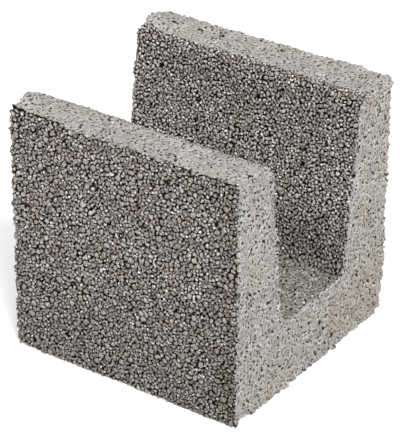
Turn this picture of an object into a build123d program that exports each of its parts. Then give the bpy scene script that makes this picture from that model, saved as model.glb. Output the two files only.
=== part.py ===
from build123d import *
import os

# U-shaped channel block of lightweight aggregate concrete, cast in one piece and open on top.
# X runs across the block, Y along the channel and Z up, with the origin at the middle of the base.
# All sizes are in millimetres.

# Overall size
length = 240.0  # along the channel, between the end faces
width = 240.0  # across both legs
height = 238.0  # from the base to the tops of the legs

# Walls round the channel
floor_thickness = 70.0
leg_top_thickness = 52.0  # at the top of a leg, measured to the sharp corner
leg_foot_thickness = 71.0  # where a leg meets the channel floor

# Edges
channel_fillet_radius = 12.0  # between each leg and the channel floor
leg_top_round_radius = 15.0  # inner edge of each leg top
arris_radius = 3.0  # outer edges and the rims of both end faces


def half_profile():
    """Right half of the U, from the middle of the base round to the middle of the channel floor."""
    side = width / 2
    return [
        (0, 0),
        (side, 0),
        (side, height),
        (side - leg_top_thickness, height),
        (side - leg_foot_thickness, floor_thickness),
        (0, floor_thickness),
    ]


def corners_at(sketch, x, z):
    """The pair of sketch corners that lie at this height, at x on either side of the middle."""
    return sketch.vertices().filter_by(lambda v: abs(abs(v.X) - x) < 1e-6 and abs(v.Y - z) < 1e-6)


def block_section():
    """The closed U section, drawn flat with its height along Y."""
    right = Polyline(*half_profile())
    section = make_face(right + mirror(right, about=Plane.YZ))
    side = width / 2
    inner_feet = corners_at(section, side - leg_foot_thickness, floor_thickness)
    section = fillet(inner_feet, channel_fillet_radius)
    inner_tops = corners_at(section, side - leg_top_thickness, height)
    section = fillet(inner_tops, leg_top_round_radius)
    outer_tops = corners_at(section, side, height)
    outer_feet = corners_at(section, side, 0)
    return fillet(outer_tops + outer_feet, arris_radius)


def u_block():
    """The section run along the channel, with the rims of both end faces rounded over."""
    body = extrude(Plane.XZ * block_section(), length / 2, both=True)
    end_faces = body.faces().filter_by(Axis.Y)
    rims = end_faces.sort_by(Axis.Y)[0].edges() + end_faces.sort_by(Axis.Y)[-1].edges()
    body = fillet(rims, arris_radius)
    body.label = "u_block"
    return body


os.makedirs("parts", exist_ok=True)
block = u_block()
export_step(block, f"parts/{block.label}.step")
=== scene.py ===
"""Looks of the channel block: its cast grain, worn edges and concrete finish, on a pale floor in soft light.

The block is dressed by skins. Eight long skins run round the U section and one closes each end, and
their edges share points, so together they are one closed surface. Lengths are in millimetres up to
the point where a mesh is written, and in metres from there.
"""

import math

import bpy
import numpy as np
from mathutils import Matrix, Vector
from mathutils.geometry import delaunay_2d_cdt
from mathutils.kdtree import KDTree


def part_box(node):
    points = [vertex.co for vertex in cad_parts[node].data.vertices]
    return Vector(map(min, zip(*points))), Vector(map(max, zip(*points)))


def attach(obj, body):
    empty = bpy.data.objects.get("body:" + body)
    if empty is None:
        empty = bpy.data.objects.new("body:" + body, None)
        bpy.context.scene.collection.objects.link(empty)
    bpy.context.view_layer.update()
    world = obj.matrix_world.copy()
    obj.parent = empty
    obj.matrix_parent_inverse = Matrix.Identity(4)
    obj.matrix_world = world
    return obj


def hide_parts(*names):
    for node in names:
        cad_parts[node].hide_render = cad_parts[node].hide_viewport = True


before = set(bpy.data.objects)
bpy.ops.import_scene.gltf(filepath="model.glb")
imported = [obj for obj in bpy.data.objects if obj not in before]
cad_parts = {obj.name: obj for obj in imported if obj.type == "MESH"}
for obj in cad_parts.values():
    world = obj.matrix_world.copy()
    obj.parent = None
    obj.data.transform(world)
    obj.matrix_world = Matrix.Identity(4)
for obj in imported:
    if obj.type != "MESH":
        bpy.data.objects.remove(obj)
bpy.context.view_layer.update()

MM = 0.001
NODE = "u_block"

# The section, as the CAD solid has it but for slightly sharper outer edges
block_low, block_high = (np.array(corner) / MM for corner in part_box(NODE))
WIDTH, LENGTH, HEIGHT = block_high - block_low
LEG_TOP = 52.0
LEG_FOOT = 71.0
FLOOR = 70.0
CHANNEL_FILLET = 12.0
LEG_TOP_ROUND = 15.0
ARRIS = 2.4
RIM = 1.8  # rounding between the long skins and the ends
END_LEAN = math.radians(40)  # how far the grain of the rims leans towards the ends

# Mesh steps: fine where grain is seen close, wider on the base
STEP_ALONG = 0.78
STEP_SIDE = 0.76
STEP_FINE = 0.8
STEP_WALL = 0.8
STEP_PLAIN = 1.3
STEP_BASE = 1.5
STEP_FRONT = 0.8
STEP_BACK = 1.4

rng = np.random.default_rng(7)


# Outline of the section

def outline_runs():
    """Straight runs and corner arcs of the U section, anticlockwise from the base, seen from the front."""
    side = WIDTH / 2
    corners = [
        (-side, 0, ARRIS),
        (side, 0, ARRIS),
        (side, HEIGHT, ARRIS),
        (side - LEG_TOP, HEIGHT, LEG_TOP_ROUND),
        (side - LEG_FOOT, FLOOR, CHANNEL_FILLET),
        (-side + LEG_FOOT, FLOOR, CHANNEL_FILLET),
        (-side + LEG_TOP, HEIGHT, LEG_TOP_ROUND),
        (-side, HEIGHT, ARRIS),
    ]
    lines = ["base", "right_side", "right_top", "right_wall", "floor", "left_wall", "left_top", "left_side"]
    arcs = []
    for k, (x, z, radius) in enumerate(corners):
        here = np.array((x, z))
        before = np.array(corners[k - 1][:2])
        after = np.array(corners[(k + 1) % len(corners)][:2])
        into = (here - before) / np.linalg.norm(here - before)
        out = (after - here) / np.linalg.norm(after - here)
        turn = math.atan2(into[0] * out[1] - into[1] * out[0], into @ out)
        tangent = radius * math.tan(abs(turn) / 2)
        start = here - into * tangent
        inward = math.copysign(1, turn) * np.array((-into[1], into[0]))
        arcs.append((start, start + inward * radius, radius, turn, here + out * tangent))
    runs = []
    for k, name in enumerate(lines):
        runs.append((name, "line", arcs[k][4], arcs[(k + 1) % len(arcs)][0]))
        runs.append((name + "_arc", "arc", *arcs[(k + 1) % len(arcs)][:4]))
    return runs


STEPS = {
    "base": STEP_BASE,
    "right_side": STEP_PLAIN,
    "right_side_arc": STEP_FINE,
    "right_top": STEP_FINE,
    "left_top": STEP_FINE,
    "left_top_arc": STEP_FINE,
    "left_side": STEP_SIDE,
    "left_side_arc": STEP_FINE,
    "left_wall": STEP_PLAIN,
}


def sample_outline():
    """Points, outward normals and distance run round the section, and where each run starts."""
    points, normals, starts = [], [], {}
    for name, kind, *shape in outline_runs():
        starts[name] = len(points)
        step = STEPS.get(name, STEP_WALL)
        if kind == "line":
            start, end = shape
            span = end - start
            count = max(2, round(np.linalg.norm(span) / step))
            normal = np.array((span[1], -span[0])) / np.linalg.norm(span)
            for t in np.arange(count) / count:
                points.append(start + span * t)
                normals.append(normal)
        else:
            start, centre, radius, turn = shape
            count = max(4, round(radius * abs(turn) / step))
            for angle in turn * np.arange(count) / count:
                turned = rotate(start - centre, angle)
                points.append(centre + turned)
                normals.append(math.copysign(1, turn) * turned / radius)
    points, normals = np.array(points), np.array(normals)
    gaps = np.linalg.norm(np.roll(points, -1, 0) - points, axis=1)
    run = np.concatenate(([0], np.cumsum(gaps)))
    return points, normals, run[:-1], run[-1], starts


def rotate(vector, angle):
    c, s = math.cos(angle), math.sin(angle)
    return np.array((c * vector[0] - s * vector[1], s * vector[0] + c * vector[1]))


def smooth_round(values, run, total, reach):
    """Values round the closed outline, averaged over about this reach either way."""
    fine_step = 0.5
    fine = np.arange(0, total, fine_step)
    offsets = np.arange(-3 * reach, 3 * reach + fine_step, fine_step)
    weights = np.exp(-(offsets / reach) ** 2)
    weights /= weights.sum()
    out = np.empty_like(values)
    for k in range(values.shape[1]):
        fine_values = np.interp(fine, run, values[:, k], period=total)
        spread = sum(w * np.roll(fine_values, round(o / fine_step)) for w, o in zip(weights, offsets))
        out[:, k] = np.interp(run, fine, spread, period=total)
    return out


# Noise

NOISE_CELLS = 512  # the noise repeats after this many cells


def noise(a, b, cell, seed):
    """Smooth random values from -1 to 1 that change over about one cell."""
    table = np.random.default_rng(seed).uniform(-1, 1, (NOISE_CELLS, NOISE_CELLS))
    a, b = np.asarray(a) / cell, np.asarray(b) / cell
    a0, b0 = np.floor(a).astype(int), np.floor(b).astype(int)
    fa, fb = a - a0, b - b0
    fa, fb = fa * fa * (3 - 2 * fa), fb * fb * (3 - 2 * fb)
    a0, b0 = a0 % NOISE_CELLS, b0 % NOISE_CELLS
    a1, b1 = (a0 + 1) % NOISE_CELLS, (b0 + 1) % NOISE_CELLS
    low = table[a0, b0] * (1 - fa) + table[a1, b0] * fa
    high = table[a0, b1] * (1 - fa) + table[a1, b1] * fa
    return low * (1 - fb) + high * fb


def rough(a, b, cell, seed, octaves=3):
    """Noise with finer and weaker noise added to it."""
    return sum(noise(a, b, cell / 2**k, seed + k) / 1.7**k for k in range(octaves))


def ramp(value, low, high):
    """Rises smoothly from 0 at low to 1 at high; with low above high it falls as the value grows."""
    t = np.clip((value - low) / (high - low), 0, 1)
    return t * t * (3 - 2 * t)


def blur(field, cells, closed):
    """Averages a field over a few cells both ways; closed joins its first and last columns."""
    reach = int(3 * cells)
    weights = np.exp(-0.5 * (np.arange(-reach, reach + 1) / cells) ** 2)
    weights /= weights.sum()
    wide = np.pad(field, ((reach, reach), (0, 0)), mode="wrap" if closed else "edge")
    field = sum(w * wide[k : k + field.shape[0]] for k, w in enumerate(weights))
    wide = np.pad(field, ((0, 0), (reach, reach)), mode="edge")
    return sum(w * wide[:, k : k + field.shape[1]] for k, w in enumerate(weights))


def by_rank(field, chosen, values):
    """A value for each cell, from where its height ranks among the chosen cells."""
    return np.interp(field, np.quantile(field[chosen], RANKS), values)


def bend(a, b, amounts, seed):
    """Both coordinates moved by noise, so that what is drawn with them has an uneven outline."""
    bent_a, bent_b = a, b
    for k, (reach, cell) in enumerate(amounts):
        bent_a = bent_a + reach * noise(a, b, cell, seed + k)
        bent_b = bent_b + reach * noise(a, b, cell, seed + len(amounts) + k)
    return bent_a, bent_b


# Grain: radii of the grains of the sides and walls, and the share of the face laid with each

GRAIN_RADII = (3.2, 2.5, 1.95, 1.6, 1.36, 1.18, 1.03, 0.9)
GRAIN_SHARE = (0.04, 0.04, 0.04, 0.06, 0.12, 0.18, 0.2, 0.14)
WALL_RADII = (2.4, 1.8, 1.45, 1.2, 1.02, 0.88)
WALL_SHARE = (0.02, 0.04, 0.1, 0.2, 0.26, 0.18)
FLOOR_RADII = (1.9, 1.5, 1.2, 0.95)
FLOOR_SHARE = (0.1, 0.2, 0.25, 0.2)
SIZE_SPREAD = (0.88, 1.12)  # each grain's size, as a share of the radius in the list
TRIES_PER_GRAIN = 7
OPEN_ROOM = 9.0  # room round a place while no grain lies near it
ROOM_REACH = 2.3  # a grain takes room within this many of its radii
CLEARANCE = 0.9  # how far a grain's middle keeps from its neighbours, as a share of its radius
DOME_POWER = 1.5  # how flat the tops of the grains are
DOME_STRETCH = (0.78, 1.28)
DOME_TILT = 0.13
DOME_SWELL = 1.06  # a dome's radius, as a share of the grain's
DOME_EDGE = 1.15  # a dome ends where the square of its distance from the middle reaches this
DOME_REACH = 1.22
GRAIN_BEND = ((0.6, 2.6), (0.3, 1.3))  # how far outlines wander, and over what distance
PIT_BEND = ((0.5, 1.5),)
PIT_REACH, PIT_FOOT, PIT_RIM = 1.5, 0.45, 1.25  # in radii of the pit
PIT_SIZE_POWER = 2.7  # the higher, the more of the pits are small
PIT_DEPTH, PIT_DEPTH_GROWTH = 0.8, 0.9  # for a pit without size, and more for each unit of its radius


def pack_grains(length_a, length_b, radii, shares, allowed):
    """Places for grains laid side by side, largest first, where allowed(a) is true: a, b, radius."""
    cell = 0.5
    margin = max(radii) * 2
    cells = [int((length + 2 * margin) / cell) + 2 for length in (length_a, length_b)]
    room = np.full(cells, OPEN_ROOM, np.float32)
    placed = []
    for radius, share in zip(radii, shares):
        wanted = int(share * length_a * length_b / (math.pi * radius**2))
        tries = wanted * TRIES_PER_GRAIN
        a = rng.uniform(-margin / 2, length_a + margin / 2, tries)
        b = rng.uniform(-margin / 2, length_b + margin / 2, tries)
        sizes = radius * rng.uniform(*SIZE_SPREAD, tries)
        ia, ib = ((a + margin) / cell).astype(int), ((b + margin) / cell).astype(int)
        free = (room[ia, ib] > sizes * CLEARANCE) & allowed(a)
        reach = int(ROOM_REACH * radius / cell) + 1
        offset = np.arange(-reach, reach + 1) * cell
        away = np.hypot(offset[:, None], offset[None, :]).astype(np.float32)
        left = wanted
        for k in np.nonzero(free)[0]:
            if room[ia[k], ib[k]] <= sizes[k] * CLEARANCE:
                continue
            placed.append((a[k], b[k], sizes[k]))
            i0, j0 = ia[k] - reach, ib[k] - reach
            i1, j1 = max(i0, 0), max(j0, 0)
            window = room[i1 : ia[k] + reach + 1, j1 : ib[k] + reach + 1]
            part = away[i1 - i0 : i1 - i0 + window.shape[0], j1 - j0 : j1 - j0 + window.shape[1]]
            np.minimum(window, part - sizes[k], out=window)
            left -= 1
            if left <= 0:
                break
    return np.array(placed)


def lay_grains(line_a, line_b, height, tone, size, grains, top, top_spread, sink):
    """Raises the height field by a flattened dome for each grain, and marks its tone and size there."""
    grid_a, grid_b = np.meshgrid(line_a, line_b, indexing="ij")
    bent_a, bent_b = bend(grid_a, grid_b, GRAIN_BEND, 41)
    count = len(grains)
    tops = top - np.abs(rng.normal(0, top_spread, count))
    stretch = rng.uniform(*DOME_STRETCH, count)
    angles = rng.uniform(0, math.pi, count)
    tilts = rng.normal(0, DOME_TILT, (count, 2))
    tones = rng.normal(0, 1, count)
    reach = grains[:, 2] * DOME_REACH
    a0 = np.searchsorted(line_a, grains[:, 0] - reach)
    a1 = np.searchsorted(line_a, grains[:, 0] + reach)
    b0 = np.searchsorted(line_b, grains[:, 1] - reach)
    b1 = np.searchsorted(line_b, grains[:, 1] + reach)
    for k in np.nonzero((a1 > a0) & (b1 > b0))[0]:
        da = bent_a[a0[k] : a1[k], b0[k] : b1[k]] - grains[k, 0]
        db = bent_b[a0[k] : a1[k], b0[k] : b1[k]] - grains[k, 1]
        c, s = math.cos(angles[k]), math.sin(angles[k])
        along, across = c * da + s * db, c * db - s * da
        share = along * along * stretch[k] + across * across / stretch[k]
        share /= (grains[k, 2] * DOME_SWELL) ** 2
        dome = tops[k] - sink * grains[k, 2] * share**DOME_POWER
        dome += tilts[k, 0] * da
        dome += tilts[k, 1] * db
        here = height[a0[k] : a1[k], b0[k] : b1[k]]
        taller = (share < DOME_EDGE) & (dome > here)
        here[taller] = dome[taller]
        tone[a0[k] : a1[k], b0[k] : b1[k]][taller] = tones[k]
        size[a0[k] : a1[k], b0[k] : b1[k]][taller] = grains[k, 2]


def punch_pits(line_a, line_b, height, pits):
    """Sinks uneven round pits into the height field: each pit is a, b, radius and depth."""
    grid_a, grid_b = np.meshgrid(line_a, line_b, indexing="ij")
    bent_a, bent_b = bend(grid_a, grid_b, PIT_BEND, 45)
    for a, b, radius, depth in pits:
        a0, a1 = np.searchsorted(line_a, (a - radius * PIT_REACH, a + radius * PIT_REACH))
        b0, b1 = np.searchsorted(line_b, (b - radius * PIT_REACH, b + radius * PIT_REACH))
        if a1 <= a0 or b1 <= b0:
            continue
        away = np.hypot(bent_a[a0:a1, b0:b1] - a, bent_b[a0:a1, b0:b1] - b)
        height[a0:a1, b0:b1] -= depth * (1 - ramp(away, radius * PIT_FOOT, radius * PIT_RIM))


def scattered_pits(length_a, length_b, per_cm2, radius_low, radius_high):
    """Random pits, most of them small and the larger ones deeper: a, b, radius and depth."""
    count = int(length_a * length_b / 100 * per_cm2)
    radii = radius_low + (radius_high - radius_low) * rng.uniform(0, 1, count) ** PIT_SIZE_POWER
    places = rng.uniform((0, 0), (length_a, length_b), (count, 2))
    return [(a, b, r, PIT_DEPTH + PIT_DEPTH_GROWTH * r) for (a, b), r in zip(places, radii)]


# Colour of the concrete: light paste on flat faces, darker grain on moulded ones

LIGHT = np.array((0.347, 0.339, 0.318))
LIGHT_COOL = np.array((0.367, 0.364, 0.353))
LIGHT_WARM = np.array((0.346, 0.319, 0.274))
GRAIN = np.array((0.276, 0.253, 0.246))
GRAIN_WARM = np.array((0.279, 0.247, 0.222))
GRAIN_PINK = np.array((0.287, 0.253, 0.247))
GRAIN_OLIVE = np.array((0.270, 0.256, 0.219))
GRAIN_PALE = np.array((0.268, 0.261, 0.256))
FLOOR_GREY = np.array((0.220, 0.211, 0.189))


def mix(first, second, share):
    """Blend of two colours: the first where share is 0, the second where it is 1."""
    share = np.asarray(share)[..., None]
    return first * (1 - share) + second * share


# Height of a cell among its neighbours, as ranks, and the painted light value that the material shades by:
# below 0.3 it is painted black as the shade of a hollow, and above that, on a grain or on the paste, it is
# painted lighter the higher it stands, up to a painted highlight
RANKS = (0.0, 0.05, 0.15, 0.3, 0.5, 0.75, 0.95, 1.0)
COARSE_PAINTED_LIGHT = (0.0, 0.01, 0.04, 0.15, 0.47, 0.73, 0.84, 0.88)
FINE_PAINTED_LIGHT = (0.0, 0.18, 0.36, 0.45, 0.5, 0.54, 0.6, 0.7)
FLOOR_PAINTED_LIGHT = (0.0, 0.1, 0.26, 0.41, 0.5, 0.62, 0.79, 0.95)
MERGED_PAINTED_LIGHT = 0.7  # of paste that joins grains
COARSE_BLUR, FINE_BLUR = 1.4, 1.6  # in mesh cells: the neighbours that a height is compared with

# Where the grain's brightness changes: distances run round the section from the middle of the channel
# floor, each pair from where a change starts to where it is complete
WALL_REACH = 225.0  # the walls lie nearer than this, and the sides further off
# painted light on the lower half of the inner walls, then painted shade at their foot
WALL_PAINTED_LIGHT = (200, 150)
WALL_FOOT_PAINTED_SHADE = (115, 60)
SIDE_FOOT = (330, 500)
FRONT_BAND = (8, 38)  # distance from the front end

# Strength of the fine grain pattern
COARSE_GRIT = 0.8
FLOOR_GRIT = 0.5
PASTE_GRIT = 0.25


def coarse_colour(a, b, height, tone, size):
    """Colour of moulded faces: each grain has its own tone, and deep ones are painted dark as shade."""
    warm = ramp(rough(a, b, 18, 31), -0.4, 0.9)
    large = ramp(size, 1.3, 2.4)
    from_floor = np.abs(a - run_at("floor", 0.5))
    walls, sides = from_floor < WALL_REACH, from_floor > WALL_REACH
    spread = np.where(walls, 0.07, 0.1)
    brightness = 1.03 * np.exp(spread * np.clip(tone, -2, 2))
    # Painted shade: deep places are darker
    brightness *= 0.25 + 0.75 * ramp(height, -3.2, -0.9)
    brightness *= 1 + 0.03 * rough(a, b, 13, 37, 2)
    # Painted light: the inner walls are painted a little lighter, more so below half way where the opposite
    # leg shades them, and painted shade darkens their foot
    brightness *= 1 + 0.03 * walls + 0.17 * ramp(from_floor, *WALL_PAINTED_LIGHT)
    brightness *= 1 - 0.35 * ramp(from_floor, *WALL_FOOT_PAINTED_SHADE)
    # The sides are darker towards the base, and browner and darker towards the front end
    brightness *= 1 + sides * (0.06 - 0.22 * ramp(from_floor, *SIDE_FOOT))
    front = (1 - ramp(b, *FRONT_BAND)) * sides
    brightness *= 1 - 0.2 * front
    warm = np.maximum(warm, front)
    hue = noise(a, b, 5.0, 35)
    colour = mix(mix(GRAIN, GRAIN_WARM, warm), GRAIN_PINK, 0.6 * ramp(hue, 0.0, 0.7))
    colour = mix(colour, GRAIN_OLIVE, np.maximum(0.4 * large, 0.5 * ramp(-hue, 0.0, 0.7)))
    colour = mix(colour, GRAIN_PALE, 0.8 * ramp(tone, 0.2, 1.5))
    return colour * brightness[..., None]


def coarse_painted_light(a, b, height, chosen):
    """Painted shade and painted highlight of moulded faces, from how each place stands among those round it.
    """
    painted_light = height - blur(height, COARSE_BLUR, True)
    painted_light = painted_light + 0.08 * noise(a, b, 1.1, 33) + 0.12 * noise(a, b, 2.8, 36)
    painted_light = by_rank(painted_light, chosen, COARSE_PAINTED_LIGHT)
    # Here and there paste joins the grains, and their painted shade is softer
    merged = 0.4 * ramp(rough(a, b, 7, 38, 2), 0.0, 0.7) * ramp(painted_light, 0.1, 0.35)
    return painted_light + merged * (MERGED_PAINTED_LIGHT - painted_light)


def fine_colour(a, b, height, seed, warmth, coolness):
    """Colour of flat faces: light paste with warm clouds, cool bands, and pits painted dark as shade."""
    warm = ramp(rough(a, b, 40, seed) + warmth, -0.3, 1.3)
    cool = ramp(coolness + 0.35 * rough(a, b, 14, seed + 8), 0.1, 0.9)
    speck = 1 + 0.12 * rough(a, b, 6.5, seed + 6, 2)
    paste = mix(mix(LIGHT, LIGHT_WARM, warm), LIGHT_COOL, cool)
    # Painted shade: deep places in the pits are darker
    return paste * (speck * (0.2 + 0.8 * ramp(height, -1.8, -0.6)))[..., None]


def fine_painted_light(a, b, height, seed, closed):
    """Painted shade and painted highlight of flat faces."""
    painted_light = height - blur(height, FINE_BLUR, closed) + 0.2 * noise(a, b, 1.1, seed + 7)
    return by_rank(painted_light, np.full(painted_light.shape, True), FINE_PAINTED_LIGHT)


# Long skins

outline, normals, run, perimeter, starts = sample_outline()
normals_soft = smooth_round(normals, run, perimeter, reach=4.0)
normals_soft /= np.linalg.norm(normals_soft, axis=1)[:, None]


LEAN_REACH = 5.0  # the grain leans over within this distance of an end


def along_rows():
    """Rows along the block: distance run, y, inset from the section and lean towards the end."""
    rim_rows = max(4, round(RIM * math.pi / 2 / STEP_ALONG))
    angles = np.linspace(math.pi / 2, 0, rim_rows, endpoint=False)
    body_rows = round((LENGTH - 2 * RIM) / STEP_ALONG)
    body = np.linspace(-LENGTH / 2 + RIM, LENGTH / 2 - RIM, body_rows + 1)
    rim_y = -LENGTH / 2 + RIM * (1 - np.sin(angles))
    inset = RIM * (1 - np.cos(angles))
    y = np.concatenate((rim_y, body, -rim_y[::-1]))
    inset = np.concatenate((inset, np.zeros_like(body), inset[::-1]))
    run_along = np.concatenate(([0], np.cumsum(np.hypot(np.diff(y), np.diff(inset)))))
    to_front, to_back = run_along, run_along[-1] - run_along
    lean = (1 - np.clip(to_front / LEAN_REACH, 0, 1)) - (1 - np.clip(to_back / LEAN_REACH, 0, 1))
    return y, inset, run_along, lean


row_y, row_inset, row_run, row_lean = along_rows()
ROWS_LENGTH = row_run[-1]


def run_at(name, share=0.0):
    """Distance run round the section at the start of a run, or some way along it."""
    order = list(starts)
    k = order.index(name)
    begin = run[starts[name]]
    end = run[starts[order[k + 1]]] if k + 1 < len(order) else perimeter
    return begin + (end - begin) * share


OUTER_ARRISES = ("base_arc", "right_side_arc", "left_top_arc", "left_side_arc")

# Stretches of the outline that show coarse grain, each from one edge to the other
COARSE_SPANS = [
    (run_at("base_arc", 0.5), run_at("right_top")),
    (run_at("right_top_arc", 0.12), run_at("right_wall_arc", 0.6)),
    (run_at("floor_arc", 0.4), run_at("left_wall_arc", 0.88)),
    (run_at("left_top_arc", 0.0), run_at("left_side_arc", 0.5)),
]
FLOOR_SPAN = (run_at("right_wall_arc", 0.6), run_at("floor_arc", 0.4))


def depth_inside(a, spans):
    """How far a place lies inside the nearest of these stretches; negative outside."""
    best = np.full(np.shape(a), -np.inf)
    for low, high in spans:
        best = np.maximum(best, np.minimum(a - low, high - a))
    return best


def is_coarse(a):
    """True where grain is laid for the moulded faces, a little past their edges."""
    return depth_inside(a, COARSE_SPANS) > -1.0


def on_wall(a):
    return is_coarse(a) & (np.abs(a - run_at("floor", 0.5)) < WALL_REACH)


def on_side(a):
    return is_coarse(a) & (np.abs(a - run_at("floor", 0.5)) >= WALL_REACH)


def is_floor(a):
    return depth_inside(a, [FLOOR_SPAN]) > -2.0


grid_a, grid_b = np.meshgrid(run, row_run, indexing="ij")
DEEP_GRAIN_AREA = 12  # one deep grain, seen between the others, for each of these areas
MISSING_GRAINS = 0.02  # share of the grains that fell out


def coarse_field():
    """Height of the grain on moulded faces, with the tone and size of each grain."""
    height = -2.9 + 0.5 * rough(grid_a, grid_b, 2.5, 51)
    tone, size = np.zeros_like(height), np.zeros_like(height)
    count = int(perimeter * ROWS_LENGTH / DEEP_GRAIN_AREA)
    deep = np.column_stack((
        rng.uniform(0, perimeter, count),
        rng.uniform(0, ROWS_LENGTH, count),
        rng.uniform(1.0, 2.6, count),
    ))
    deep = deep[is_coarse(deep[:, 0])]
    lay_grains(run, row_run, height, tone, size, deep, top=-1.5, top_spread=0.7, sink=0.5)
    grains = np.concatenate((
        pack_grains(perimeter, ROWS_LENGTH, GRAIN_RADII, GRAIN_SHARE, on_side),
        pack_grains(perimeter, ROWS_LENGTH, WALL_RADII, WALL_SHARE, on_wall),
    ))
    kept = grains[rng.uniform(0, 1, len(grains)) > MISSING_GRAINS]
    lay_grains(run, row_run, height, tone, size, kept, top=0.0, top_spread=0.38, sink=0.62)
    height += 0.6 + 0.16 * noise(grid_a, grid_b, 1.3, 52)
    height += 0.55 * rough(grid_a, grid_b, 16, 53, 2)
    return height, tone, size


def floor_field():
    """Height and tone of the finer grain on the channel floor."""
    height = -1.1 + 0.3 * rough(grid_a, grid_b, 2.0, 61)
    tone, size = np.zeros_like(height), np.zeros_like(height)
    grains = pack_grains(perimeter, ROWS_LENGTH, FLOOR_RADII, FLOOR_SHARE, is_floor)
    lay_grains(run, row_run, height, tone, size, grains, top=0.0, top_spread=0.18, sink=0.4)
    return height + 0.12 * noise(grid_a, grid_b, 1.2, 62), tone


def fine_height(a, b, seed):
    """Slight unevenness of the flat faces."""
    return 0.16 * rough(a, b, 2.2, seed) + 0.25 * noise(a, b, 11, seed + 3)


coarse_height, coarse_tone, coarse_size = coarse_field()
floor_height, floor_tone = floor_field()
floor_pits = scattered_pits(perimeter, ROWS_LENGTH, per_cm2=8.0, radius_low=0.8, radius_high=1.9)
punch_pits(run, row_run, floor_height, floor_pits)
flat_height = fine_height(grid_a, grid_b, 71)
flat_pits = scattered_pits(perimeter, ROWS_LENGTH, per_cm2=9.0, radius_low=0.6, radius_high=1.6)
punch_pits(run, row_run, flat_height, flat_pits)

edge_noise = 1.3 * noise(grid_a, grid_b, 5.5, 81) + 0.9 * noise(grid_a, grid_b, 2.2, 82)
from_end = np.minimum(grid_b, ROWS_LENGTH - grid_b)


def share_of(spans, left=1.0):
    """How far these stretches cover each place, up to what is left, with an uneven border."""
    share = ramp(depth_inside(grid_a, spans) + edge_noise, -0.7, 0.7)
    return share * (ramp(from_end + 0.8 * edge_noise, 1.4, 2.8) * left)


def floor_groove():
    """1 in the groove where each wall meets the channel floor, weaker here and there."""
    lines = (np.exp(-((grid_a - at + 0.6 * edge_noise) / 1.1) ** 2) for at in FLOOR_SPAN)
    broken = 0.4 + 0.6 * ramp(noise(grid_a, grid_b, 3.0, 86), -0.5, 0.5)
    return np.maximum(*lines) * (ramp(from_end, 2.0, 6.0) * broken)


def long_height():
    """Height of the long skins: their grain and paste, crumbled rims and arrises, and the groove."""
    height = flat_height * (1 - coarse_share - floor_share)
    height += coarse_height * coarse_share + floor_height * floor_share
    crumbled = np.maximum(rough(grid_a, grid_b, 5.0, 83) + 0.15, 0) ** 1.3
    height -= 2.2 * crumbled * (1 - ramp(from_end, 1.0, 5.0))
    height += 1.4 * noise(grid_a, grid_b, 1.8, 84) * (1 - ramp(from_end, 1.0, 4.0))
    from_arris = np.min([np.abs(grid_a - run_at(name, 0.5)) for name in OUTER_ARRISES], 0)
    height += noise(grid_a, grid_b, 2.0, 85) * (1 - ramp(from_arris, 1.0, 4.0)) * ramp(from_end, 1.0, 4.0)
    return height - GROOVE_DEPTH * groove


def long_colour():
    """Colour of the long skins."""
    paste = fine_colour(grid_a, grid_b, flat_height, 91, warmth=-0.25, coolness=0.3)
    coarse_tint = coarse_colour(grid_a, grid_b, coarse_height, coarse_tone, coarse_size)
    floor_tint = FLOOR_GREY * np.exp(0.2 * np.clip(floor_tone, -2, 2))[..., None]
    return mix(mix(paste, coarse_tint, coarse_share), floor_tint, floor_share)


def long_painted_light():
    """Painted shade and painted highlight of the long skins, with painted shade in the groove where each
    wall meets the channel floor.
    """
    painted_light = fine_painted_light(grid_a, grid_b, flat_height, 91, True) * (1 - coarse_share - floor_share)
    painted_light += coarse_painted_light(grid_a, grid_b, coarse_height, is_coarse(grid_a)) * coarse_share
    stands = floor_height - blur(floor_height, FINE_BLUR, True)
    painted_light += by_rank(stands, is_floor(grid_a), FLOOR_PAINTED_LIGHT) * floor_share
    return painted_light - GROOVE_PAINTED_SHADE * groove


def long_grit():
    """Strength of the fine grain pattern on the long skins; large grains show less of it."""
    large = ramp(coarse_size, 1.5, 2.6)
    grit = COARSE_GRIT * coarse_share * (1 - 0.5 * large) + FLOOR_GRIT * floor_share
    return grit + PASTE_GRIT * (1 - coarse_share - floor_share)


# the groove is sunk by the first value and painted dark as shade by the second
GROOVE_DEPTH, GROOVE_PAINTED_SHADE = 1.4, 0.3
coarse_share = share_of(COARSE_SPANS)
floor_share = share_of([FLOOR_SPAN], 1 - coarse_share)
groove = floor_groove()
skin_height = long_height()
skin_colour = long_colour()
skin_painted_light = long_painted_light()
skin_grit = long_grit()
skin_finish = 1 - coarse_share


# Larger voids that show in the photograph: run of the section, share of it, y and radius
# voids are sunk by the first value and painted dark as shade by the second
VOID_DEPTH, VOID_PAINTED_SHADE = 2.2, 0.6
LONG_VOIDS = [
    ("left_top", 0.97, 111, 2.7),
    ("left_top", 0.99, 117, 2.8),
    ("left_side", 0.02, 108, 1.8),
    ("left_side", 0.05, 92, 1.6),
    ("left_side", 0.06, 60, 1.4),
    ("right_wall", 0.1, -14, 2.4),
    ("right_wall", 0.44, -66, 2.8),
    ("right_wall", 0.7, -20, 1.9),
    ("right_top", 0.46, 101, 1.7),
    ("right_top", 0.48, 97.5, 1.5),
    ("right_top", 0.41, 76, 1.7),
    ("right_top", 0.43, 72.5, 1.5),
    ("right_top", 0.4, 53, 1.7),
    ("right_top", 0.42, 49.5, 1.5),
    ("right_top", 0.07, 17, 1.5),
    ("right_top", 0.26, -10, 1.6),
    ("right_top", 0.28, -13.5, 1.4),
    ("left_top", 0.47, -116, 1.8),
]
END_VOIDS = [  # on both ends: x, z and radius
    (-99.5, 168, 1.7),
    (-100, 124, 1.6),
    (12, 40, 2.0),
    (33, 16, 2.3),
    (-56, 59, 1.6),
    (-7, 49, 1.5),
    (13, 29, 1.4),
]


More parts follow.
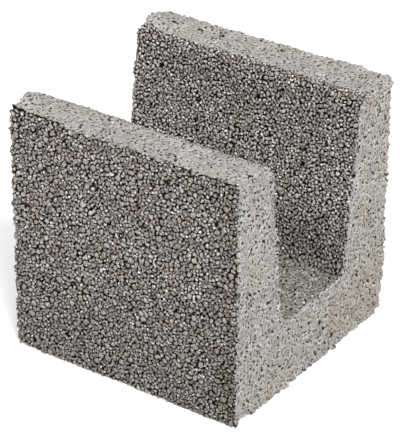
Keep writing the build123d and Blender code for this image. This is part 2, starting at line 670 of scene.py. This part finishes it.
BROKEN_ARRIS = (66, 112, 1.7)  # from y, to y, and the distance from void to void


def broken_arris():
    """A row of voids along the outer top arris of the left leg, as the photograph shows it."""
    places = np.random.default_rng(17)
    edge = run_at("left_top_arc")
    return [
        (edge - places.uniform(0.5, 4.0), y + ROWS_LENGTH / 2, places.uniform(0.9, 1.6), 1.0)
        for y in np.arange(*BROKEN_ARRIS)
    ]


def long_voids():
    """The placed voids of the long skins: 0 outside them and -1 or lower at their deepest."""
    depth = np.zeros_like(skin_height)
    placed = [
        (run_at(name, share), y + ROWS_LENGTH / 2, radius, 1.0)
        for name, share, y, radius in LONG_VOIDS
    ]
    punch_pits(run, row_run, depth, placed)
    punch_pits(run, row_run, depth, broken_arris())
    return depth


voids = long_voids()
skin_height += VOID_DEPTH * voids
# painted shade in the voids
skin_painted_light += VOID_PAINTED_SHADE * voids


# Lumps and worn places: where, how far the surface is moved there, and over what reach
LOCAL_SHAPE = [
    ((-94, 120, 238), (0, 0, 6.5), 13),
    ((-70, 120, 238), (0, 0, -1.5), 9),
    ((118, 122, 238), (0, 5.5, -2.5), 22),
    ((90, 122, 238), (0, 3.5, 3.5), 18),
    ((99, 122, 240), (0, 0, 3.0), 14),
    ((66, 122, 185), (0, 3.2, 0), 55),
    ((-118, 120, 238), (0, 0, 2.2), 8),
    ((120, 60, 238), (0, 0, -1.8), 55),
    ((120, -120, 0), (-2.5, 1.5, 1.5), 20),
    ((80, -120, 0), (0, 0, 2.0), 9),
    ((120, -120, 50), (3.0, 0, 0), 8),
    ((-120, 120, 218), (0, 2.5, 0), 7),
    ((-120, 120, 155), (0, 2.2, 0), 13),
    ((-120, 120, 0), (0, -1.5, 2.5), 12),
    ((68, 122, 234), (0, 0.5, 6.0), 9),
    ((120, -80, 238), (0, 0, 1.6), 14),
    ((-120, -85, 0), (-1.5, 0, 0), 28),
    ((-106, -120, 0), (0, 2.0, 3.5), 9),
]
LEAN = 1.5  # the section leans to the right by this much at the top, and to the left at the base
TILT = 1.3  # the right leg stands this much higher than drawn, and the left leg lower
SLOPE = 2.0  # the left leg's top falls by this much towards the channel
SLOPE_ACROSS, SLOPE_UP = (-112, -70), (150, HEIGHT)  # where that fall grows, in x and in z
WANDER, WANDER_CELL = 0.5, 70  # the faces wander by this much, over about this distance
WANDER_UP = (5, 60)  # from the base up, where the wander in height grows
LOWEST = -0.2
CRUMBLE = 1.0  # how far the edges of the ends stand in and out
FOOT_CRUMBLE = 1.9  # times as much along their lower edges


def settle(points):
    """Unevenness and wear of the casting, the same for every skin at the same place."""
    x, y, z = points[..., 0], points[..., 1], points[..., 2]
    for place, move, reach in LOCAL_SHAPE:
        away = ((points - place) ** 2).sum(-1) / reach**2
        points = points + np.exp(-away)[..., None] * move
    skew = np.stack((LEAN * (2 * z / HEIGHT - 1), np.zeros_like(z), TILT * x / (WIDTH / 2) * z / HEIGHT), -1)
    skew[..., 2] -= SLOPE * ramp(x, *SLOPE_ACROSS) * (x < 0) * ramp(z, *SLOPE_UP)
    points = points + skew
    shift = np.stack((
        WANDER * noise(y, z, WANDER_CELL, 101),
        WANDER * noise(x, z, WANDER_CELL, 102),
        WANDER * noise(x, y, WANDER_CELL, 103) * ramp(z, *WANDER_UP),
    ), -1)
    points = points + shift
    # The underside is flat where it stands on the floor
    points[..., 2] = np.maximum(points[..., 2], LOWEST)
    return points


def skin_points():
    """Every point of the long skins and its offset from the plain section, in millimetres."""
    base = outline[:, None, :] - normals[:, None, :] * row_inset[None, :, None]
    lean = np.abs(row_lean)
    push = normals_soft[:, None, :] * np.cos(lean * END_LEAN)[None, :, None]
    push_y = np.sign(row_lean) * -np.sin(lean * END_LEAN)
    offsets = np.empty((*skin_height.shape, 3))
    offsets[..., 0] = push[..., 0] * skin_height
    offsets[..., 1] = push_y[None, :] * skin_height
    offsets[..., 2] = push[..., 1] * skin_height
    crumbs = CRUMBLE * noise(grid_a, grid_b, 3.0, 87) * (1 - ramp(from_end, 1.5, 5.0))
    crumbs *= np.where(base[..., 1] < ARRIS, FOOT_CRUMBLE, 1.0)
    offsets[..., 1] += crumbs
    plain = np.stack((base[..., 0], np.broadcast_to(row_y, skin_height.shape), base[..., 1]), -1)
    return settle(plain + offsets), offsets


skins, rim_offsets = skin_points()


# Meshes

def write_mesh(name, points, faces, colour, shading, flat_map):
    """One skin as a mesh object, with colour, painted light and other shading values at each point and a
    flat map for baking.
    """
    mesh = bpy.data.meshes.new(name)
    corners = faces.shape[1]
    mesh.vertices.add(len(points))
    mesh.vertices.foreach_set("co", (points * MM).astype(np.float32).ravel())
    mesh.loops.add(faces.size)
    mesh.loops.foreach_set("vertex_index", faces.astype(np.int32).ravel())
    mesh.polygons.add(len(faces))
    mesh.polygons.foreach_set("loop_start", np.arange(0, faces.size, corners, dtype=np.int32))
    mesh.update(calc_edges=True)
    mesh.shade_smooth()
    tint = mesh.color_attributes.new("tint", "FLOAT_COLOR", "POINT")
    rgba = np.concatenate((np.clip(colour, 0.004, 0.9), np.ones((len(points), 1))), 1)
    tint.data.foreach_set("color", rgba.astype(np.float32).ravel())
    for label, values in shading.items():
        mesh.attributes.new(label, "FLOAT", "POINT").data.foreach_set("value", values.astype(np.float32))
    layer = mesh.uv_layers.new(name="OFBake")
    layer.data.foreach_set("uv", flat_map[faces.ravel()].astype(np.float32).ravel())
    mesh.validate()
    piece = bpy.data.objects.new(name, mesh)
    bpy.context.collection.objects.link(piece)
    mesh.materials.append(concrete)
    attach(piece, "root")
    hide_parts(NODE)
    return piece


def to_unit(a, b):
    """A flat map that keeps its shape inside the unit square."""
    span = max(a.max() - a.min(), b.max() - b.min())
    return np.column_stack(((a - a.min()) / span, (b - b.min()) / span))


def long_skin(name, first, last):
    """The stretch of the long skins from the start of one run to the start of another."""
    begin = starts[first]
    end = starts[last] if last else len(outline)
    columns = np.arange(begin, end + 1) % len(outline)
    count, rows = len(columns), len(row_y)
    index = np.arange(count * rows).reshape(count, rows)
    faces = np.stack((index[:-1, :-1], index[1:, :-1], index[1:, 1:], index[:-1, 1:]), -1).reshape(-1, 4)
    column_run = run[columns] + np.where(np.arange(begin, end + 1) >= len(outline), perimeter, 0)
    a, b = np.meshgrid(column_run, row_run, indexing="ij")
    return write_mesh(
        name,
        skins[columns].reshape(-1, 3),
        faces,
        skin_colour[columns].reshape(-1, 3),
        {
            "finish": skin_finish[columns].ravel(),
            "grit": skin_grit[columns].ravel(),
            "painted_light": skin_painted_light[columns].ravel(),
        },
        to_unit(a.ravel(), b.ravel()),
    )


def channel_gap(x, z):
    """Distance of a place on an end from the edge of the channel."""
    opening = WIDTH / 2 - LEG_FOOT + (LEG_FOOT - LEG_TOP) * np.clip((z - FLOOR) / (HEIGHT - FLOOR), 0, 1)
    return np.hypot(np.maximum(np.abs(x) - opening, 0), np.maximum(FLOOR - z, 0))


def near_ring(places, ring):
    """For each place, which point of the ring is nearest and how far away it is."""
    tree = KDTree(len(ring))
    for k, (x, z) in enumerate(ring):
        tree.insert((x, z, 0), k)
    tree.balance()
    found = [tree.find((x, z, 0))[1:] for x, z in places]
    return np.array([k for k, _ in found]), np.array([distance for _, distance in found])


def end_colour(x, z, height, seed):
    """Paste of an end: cool beside the channel and on the left, warmer to the right and low down."""
    cool = 1 - ramp(channel_gap(x, z), 4, 15)
    cool = np.maximum(cool, 1 - ramp(x + WIDTH / 2, 6, 20))
    cool = np.maximum(cool, 0.4 * (1 - ramp(x + WIDTH / 2, 40, 75)) * ramp(z, 30, 70))
    warm = 0.9 * ramp(x, -70, 100) - 0.1 + 0.35 * (1 - ramp(z, 30, 80))
    colour = fine_colour(x, z, height, seed, warm, cool)
    # A little darker at the foot, and lighter high on the right
    high = ramp(z, 60, 150)
    return colour * (0.95 + 0.05 * high + 0.04 * high * ramp(x, 40, 100))[..., None]


def end_fields(step, seed):
    """A grid of places over one end, without the channel, and the height, colour and painted light value
    there.
    """
    line_x = np.arange(-WIDTH / 2, WIDTH / 2 + step, step)
    line_z = np.arange(0, HEIGHT + step, step)
    grid_x, grid_z = np.meshgrid(line_x, line_z, indexing="ij")
    height = fine_height(grid_x, grid_z, seed)
    pits = scattered_pits(WIDTH, HEIGHT, per_cm2=7.0, radius_low=0.6, radius_high=1.8)
    punch_pits(line_x, line_z, height, [(a - WIDTH / 2, b, radius, depth) for a, b, radius, depth in pits])
    colour = end_colour(grid_x, grid_z, height, seed)
    painted_light = fine_painted_light(grid_x, grid_z, height, seed, False)
    voids = np.zeros_like(height)
    punch_pits(line_x, line_z, voids, [(x, z, radius, 1.0) for x, z, radius in END_VOIDS])
    height += VOID_DEPTH * voids
    # painted shade in the voids
    painted_light += VOID_PAINTED_SHADE * voids
    solid = channel_gap(grid_x, grid_z) > 0
    places = np.column_stack((grid_x[solid], grid_z[solid]))
    return places, height[solid], colour[solid], painted_light[solid]


def end_faces(flat, ring_size, sign):
    """Triangles that face outwards, between flat places of which the first ones are the ring."""
    loop = list(range(ring_size))
    found = delaunay_2d_cdt([Vector(place) for place in flat], [], [loop], 1, 1e-6)
    source = np.array([group[0] for group in found[3]])
    faces = source[np.array(found[2])]
    a, b, c = (flat[faces[:, k]] for k in range(3))
    turn = (b[:, 0] - a[:, 0]) * (c[:, 1] - a[:, 1]) - (b[:, 1] - a[:, 1]) * (c[:, 0] - a[:, 0])
    wrong = turn * -sign < 0
    faces[wrong] = faces[wrong][:, ::-1]
    return faces


RING_GAP = 0.62  # in steps: how close the grid comes to the rim's own points
RIM_PULL = 8.0  # the rim's crumbling moves the face sideways within this distance
RIM_BLEND = 2.5  # and in or out within this distance


def end_skin(name, row, sign, step, seed):
    """Closes one end: the rim's own points round it, and a fine grid within."""
    ring = outline - normals * RIM
    inner, height, colour, painted_light = end_fields(step, seed)
    nearest, away = near_ring(inner, ring)
    keep = away > RING_GAP * step
    inner, height, colour, painted_light = inner[keep], height[keep], colour[keep], painted_light[keep]
    nearest, away = nearest[keep], away[keep]
    flat = np.concatenate((ring, inner))
    faces = end_faces(flat, len(ring), sign)

    rim_shift = rim_offsets[:, row][nearest]
    pull = np.clip(1 - away / RIM_PULL, 0, 1) ** 2
    blend = np.clip(1 - away / RIM_BLEND, 0, 1)
    inner_points = np.column_stack((
        inner[:, 0] + pull * rim_shift[:, 0],
        sign * LENGTH / 2 + (1 - blend) * sign * height + blend * rim_shift[:, 1],
        inner[:, 1] + pull * rim_shift[:, 2],
    ))
    points = np.concatenate((skins[:, row], settle(inner_points)))
    colours = np.concatenate((skin_colour[:, row], colour))
    painted_light_values = np.concatenate((skin_painted_light[:, row], painted_light))
    used = np.unique(faces)
    renumber = np.zeros(len(points), int)
    renumber[used] = np.arange(len(used))
    paste = np.ones(len(used))
    shading = {"finish": paste, "grit": paste * PASTE_GRIT, "painted_light": painted_light_values[used]}
    flat_map = to_unit(flat[used, 0], flat[used, 1])
    return write_mesh(name, points[used], renumber[faces], colours[used], shading, flat_map)


# Materials

HOLLOW_BROWN = (0.010, 0.004, 0.001)
# painted light: shade painted black in the hollows and highlight painted on the crests
PAINTED_LIGHT_JITTER = 0.1
PAINTED_LIGHT_SHADES = ((0.0, 0.001), (0.3, 0.002), (0.38, 0.28), (0.5, 0.42), (0.75, 0.65), (1.0, 1.0))
SHADE_GAIN = 3.3
FINE_GRAIN_SIZE = 2.6
PIN_HOLE_SPACING = 3.5
PIN_HOLE_BEND = 3.2
BUMP_HEIGHT = 0.9


def new_material(name):
    """A material with nodes, its node tree and its main shader."""
    material = bpy.data.materials.new(name)
    material.use_nodes = True
    return material, material.node_tree, material.node_tree.nodes["Principled BSDF"]


def calculate(tree, operation, first, second, clamp=False):
    """A math node's output; each of its two inputs is a number or another node's output."""
    node = tree.nodes.new("ShaderNodeMath")
    node.operation = operation
    node.use_clamp = clamp
    for socket, value in zip(node.inputs, (first, second)):
        if isinstance(value, (int, float)):
            socket.default_value = value
        else:
            tree.links.new(value, socket)
    return node.outputs[0]


def map_range(tree, value, from_low, from_high, to_low, to_high):
    """A value brought from one range to another and kept within it."""
    node = tree.nodes.new("ShaderNodeMapRange")
    tree.links.new(value, node.inputs["Value"])
    ends = {"From Min": from_low, "From Max": from_high, "To Min": to_low, "To Max": to_high}
    for name, number in ends.items():
        node.inputs[name].default_value = number
    return node.outputs["Result"]


def attribute(tree, name):
    """Values that the skins carry at their points under this name."""
    node = tree.nodes.new("ShaderNodeAttribute")
    node.attribute_name = name
    return node.outputs


def object_place(tree):
    return tree.nodes.new("ShaderNodeTexCoord").outputs["Object"]


def noise_texture(tree, place, size_mm, detail, roughness):
    node = tree.nodes.new("ShaderNodeTexNoise")
    node.inputs["Scale"].default_value = 1 / (size_mm * MM)
    node.inputs["Detail"].default_value = detail
    node.inputs["Roughness"].default_value = roughness
    tree.links.new(place, node.inputs["Vector"])
    return node.outputs


def cell_texture(tree, place, size_mm, feature="F1"):
    node = tree.nodes.new("ShaderNodeTexVoronoi")
    node.feature = feature
    node.inputs["Scale"].default_value = 1 / (size_mm * MM)
    tree.links.new(place, node.inputs["Vector"])
    return node.outputs


def split_colour(tree, colour):
    node = tree.nodes.new("ShaderNodeSeparateColor")
    tree.links.new(colour, node.inputs["Color"])
    return node.outputs


def fine_grain(tree, place, grit):
    """Fine grains, each with its own brightness and painted shade in the seam round it: their tone with that
    painted shade, and the seam, which also lowers the bump there.
    """
    cells = split_colour(tree, cell_texture(tree, place, FINE_GRAIN_SIZE)["Color"])
    brightness = map_range(tree, cells["Green"], 0.0, 1.0, 0.55, 1.75)
    to_edge = cell_texture(tree, place, FINE_GRAIN_SIZE, "DISTANCE_TO_EDGE")["Distance"]
    seam_painted_shade_and_rise = map_range(tree, to_edge, 0.06, 0.16, 0.3, 1.0)
    less_one = calculate(tree, "SUBTRACT", calculate(tree, "MULTIPLY", brightness, seam_painted_shade_and_rise), 1.0)
    return calculate(tree, "ADD", calculate(tree, "MULTIPLY", less_one, grit), 1.0), seam_painted_shade_and_rise


def pin_holes(tree, place, finish):
    """1 in the pin holes of the smooth paste, which have many sizes and bent outlines."""
    bent = tree.nodes.new("ShaderNodeVectorMath")
    bent.operation = "MULTIPLY_ADD"
    bent.inputs[1].default_value = (PIN_HOLE_BEND * MM,) * 3
    tree.links.new(noise_texture(tree, place, 2.0, 2.0, 0.5)["Color"], bent.inputs[0])
    tree.links.new(place, bent.inputs[2])
    holes = cell_texture(tree, bent.outputs[0], PIN_HOLE_SPACING)
    size = map_range(tree, split_colour(tree, holes["Color"])["Red"], 0.3, 1.0, 0.05, 0.37)
    inside = map_range(tree, calculate(tree, "SUBTRACT", size, holes["Distance"]), -0.03, 0.05, 0.0, 1.0)
    return calculate(tree, "MULTIPLY", inside, finish, clamp=True)


def painted_shade_and_highlight(tree, place):
    """Painted light: black painted shade in the hollows with crisp edges, then grain painted brighter the
    higher it stands, up to a painted highlight.
    """
    wander = noise_texture(tree, place, 0.9, 2.0, 0.6)["Fac"]
    jitter = map_range(tree, wander, 0.3, 0.7, -PAINTED_LIGHT_JITTER, PAINTED_LIGHT_JITTER)
    shades = tree.nodes.new("ShaderNodeValToRGB")
    tree.links.new(calculate(tree, "ADD", attribute(tree, "painted_light")["Fac"], jitter), shades.inputs["Fac"])
    stops = shades.color_ramp.elements
    while len(stops) < len(PAINTED_LIGHT_SHADES):
        stops.new(0.5)
    for stop, (position, value) in zip(stops, PAINTED_LIGHT_SHADES):
        stop.position = position
        stop.color = (value, value, value, 1)
    return shades.outputs["Color"]


def shaded_tint(tree, tone_and_painted_light):
    """The points' own colour in this tone and painted light, with a faint brown left in the black of the
    painted shade in the hollows.
    """
    # The brightest grains, partly from painted highlight, are the greyest
    faded = tree.nodes.new("ShaderNodeHueSaturation")
    tree.links.new(map_range(tree, tone_and_painted_light, 0.9, 2.6, 1.1, 0.5), faded.inputs["Saturation"])
    tree.links.new(attribute(tree, "tint")["Color"], faded.inputs["Color"])
    scaled = tree.nodes.new("ShaderNodeVectorMath")
    scaled.operation = "SCALE"
    tree.links.new(faded.outputs["Color"], scaled.inputs[0])
    tree.links.new(tone_and_painted_light, scaled.inputs["Scale"])
    dusted = tree.nodes.new("ShaderNodeVectorMath")
    dusted.operation = "ADD"
    dusted.inputs[1].default_value = HOLLOW_BROWN
    tree.links.new(scaled.outputs[0], dusted.inputs[0])
    return dusted.outputs[0]


def concrete_material():
    """Mineral paste and grain: colour from the skins' points with their painted shade and highlight, fine
    grains with painted shade in their seams, pin holes painted dark as shade, and bump.
    """
    material, tree, shader = new_material("concrete")
    shader.inputs["Roughness"].default_value = 0.92
    shader.inputs["Specular IOR Level"].default_value = 0.1
    place = object_place(tree)
    grit = attribute(tree, "grit")["Fac"]
    grains, seam_painted_shade_and_rise = fine_grain(tree, place, grit)
    pin = pin_holes(tree, place, attribute(tree, "finish")["Fac"])

    # pin holes painted dark as their shade, then the painted shade and highlight of the skins
    tone_and_painted_light = calculate(tree, "MULTIPLY", grains, map_range(tree, pin, 0.0, 1.0, 1.0, 0.06))
    tone_and_painted_light = calculate(tree, "MULTIPLY", tone_and_painted_light, painted_shade_and_highlight(tree, place))
    tone_and_painted_light = calculate(tree, "MULTIPLY", tone_and_painted_light, SHADE_GAIN)
    tree.links.new(shaded_tint(tree, tone_and_painted_light), shader.inputs["Base Color"])

    rises = calculate(tree, "SUBTRACT", noise_texture(tree, place, 1.4, 3.0, 0.65)["Fac"], pin)
    rises = calculate(tree, "ADD", rises, calculate(tree, "MULTIPLY", seam_painted_shade_and_rise, grit))
    bump = tree.nodes.new("ShaderNodeBump")
    bump.inputs["Strength"].default_value = 0.9
    bump.inputs["Distance"].default_value = BUMP_HEIGHT * MM
    tree.links.new(rises, bump.inputs["Height"])
    tree.links.new(bump.outputs["Normal"], shader.inputs["Normal"])
    return material


def seen_directly(tree):
    """1 for rays from the camera, in a mirror or through glass, and 0 for light on the block."""
    path = tree.nodes.new("ShaderNodeLightPath").outputs
    seen = calculate(tree, "MAXIMUM", path["Is Camera Ray"], path["Is Glossy Ray"])
    return calculate(tree, "MAXIMUM", seen, path["Is Transmission Ray"])


def blend_shaders(tree, share, first, second):
    """The first shader where share is 0 and the second where it is 1."""
    node = tree.nodes.new("ShaderNodeMixShader")
    tree.links.new(share, node.inputs[0])
    tree.links.new(first, node.inputs[1])
    tree.links.new(second, node.inputs[2])
    return node.outputs[0]


def floor_material():
    """Pale floor: it keeps a soft shadow, and its open part reads as white to the camera."""
    material, tree, shader = new_material("pale_floor")
    shader.inputs["Base Color"].default_value = (0.6, 0.6, 0.6, 1)
    shader.inputs["Roughness"].default_value = 0.9
    shader.inputs["Specular IOR Level"].default_value = 0.1
    glow = tree.nodes.new("ShaderNodeEmission")
    glow.inputs["Color"].default_value = (1, 1, 1, 1)
    glow.inputs["Strength"].default_value = FLOOR_GLOW
    lit = tree.nodes.new("ShaderNodeAddShader")
    tree.links.new(shader.outputs[0], lit.inputs[0])
    tree.links.new(glow.outputs[0], lit.inputs[1])
    blend = blend_shaders(tree, seen_directly(tree), shader.outputs[0], lit.outputs[0])
    tree.links.new(blend, tree.nodes["Material Output"].inputs["Surface"])
    return material


concrete = concrete_material()

long_skin("base_skin", "base", "base_arc")
long_skin("right_side_skin", "base_arc", "right_top")
long_skin("right_top_skin", "right_top", "right_top_arc")
long_skin("right_wall_skin", "right_top_arc", "right_wall_arc")
long_skin("floor_skin", "right_wall_arc", "left_wall")
long_skin("left_wall_skin", "left_wall", "left_top")
long_skin("left_top_skin", "left_top", "left_top_arc")
long_skin("left_side_skin", "left_top_arc", None)
end_skin("front_end_skin", row=0, sign=-1, step=STEP_FRONT, seed=111)
end_skin("back_end_skin", row=len(row_y) - 1, sign=1, step=STEP_BACK, seed=121)


# Stage, light and camera

WORLD_LEVEL = 0.45
FLOOR_GLOW = 0.55
FLOOR_REACH = 6.0
IMAGE_WIDTH, IMAGE_HEIGHT = 400, 433
CAMERA_AZIMUTH = -54.94
CAMERA_ELEVATION = 29.72
CAMERA_DISTANCE = 2.323
CAMERA_TARGET = Vector((-0.0035, 0.0, 0.1159))
FOCAL_PIXELS = 2602.0


def add_floor():
    mesh = bpy.data.meshes.new("floor")
    corners = [(x * FLOOR_REACH, y * FLOOR_REACH, 0) for x, y in ((-1, -1), (1, -1), (1, 1), (-1, 1))]
    mesh.from_pydata(corners, [], [(0, 1, 2, 3)])
    mesh.materials.append(floor_material())
    floor = bpy.data.objects.new("floor", mesh)
    bpy.context.collection.objects.link(floor)


def direction(azimuth, elevation):
    """Unit vector from the block towards this azimuth and elevation; azimuth 0 is the front end."""
    a, e = math.radians(azimuth), math.radians(elevation)
    return Vector((math.sin(a) * math.cos(e), -math.cos(a) * math.cos(e), math.sin(e)))


def add_sun(name, azimuth, elevation, strength, angle):
    light = bpy.data.lights.new(name, "SUN")
    light.energy = strength
    light.angle = math.radians(angle)
    sun = bpy.data.objects.new(name, light)
    sun.rotation_euler = direction(azimuth, elevation).to_track_quat("Z", "Y").to_euler()
    bpy.context.collection.objects.link(sun)


def add_world():
    """Soft light from all sides, and plain white where the camera sees past the floor."""
    world = bpy.data.worlds.new("studio")
    bpy.context.scene.world = world
    world.use_nodes = True
    tree = world.node_tree
    back = tree.nodes["Background"]
    back.inputs["Color"].default_value = (1, 1, 1, 1)
    back.inputs["Strength"].default_value = WORLD_LEVEL
    white = tree.nodes.new("ShaderNodeBackground")
    white.inputs["Color"].default_value = (1, 1, 1, 1)
    white.inputs["Strength"].default_value = 1.0
    blend = blend_shaders(tree, seen_directly(tree), back.outputs[0], white.outputs[0])
    tree.links.new(blend, tree.nodes["World Output"].inputs["Surface"])


def add_camera():
    """The photograph's view: a long lens from high on the left of the front end."""
    data = bpy.data.cameras.new("camera")
    data.sensor_width = 36.0
    data.lens = FOCAL_PIXELS * data.sensor_width / max(IMAGE_WIDTH, IMAGE_HEIGHT)
    camera = bpy.data.objects.new("camera", data)
    back = direction(CAMERA_AZIMUTH, CAMERA_ELEVATION)
    camera.location = CAMERA_TARGET + back * CAMERA_DISTANCE
    camera.rotation_euler = back.to_track_quat("Z", "Y").to_euler()
    bpy.context.collection.objects.link(camera)
    bpy.context.scene.camera = camera


add_floor()
add_world()
add_sun("key", azimuth=-40, elevation=45, strength=2.7, angle=14)
add_sun("fill", azimuth=50, elevation=40, strength=0.5, angle=40)
add_camera()
bpy.context.scene.view_settings.view_transform = "Standard"


def plain(bounds):
    return [[round(float(value), 6) for value in corner] for corner in bounds]
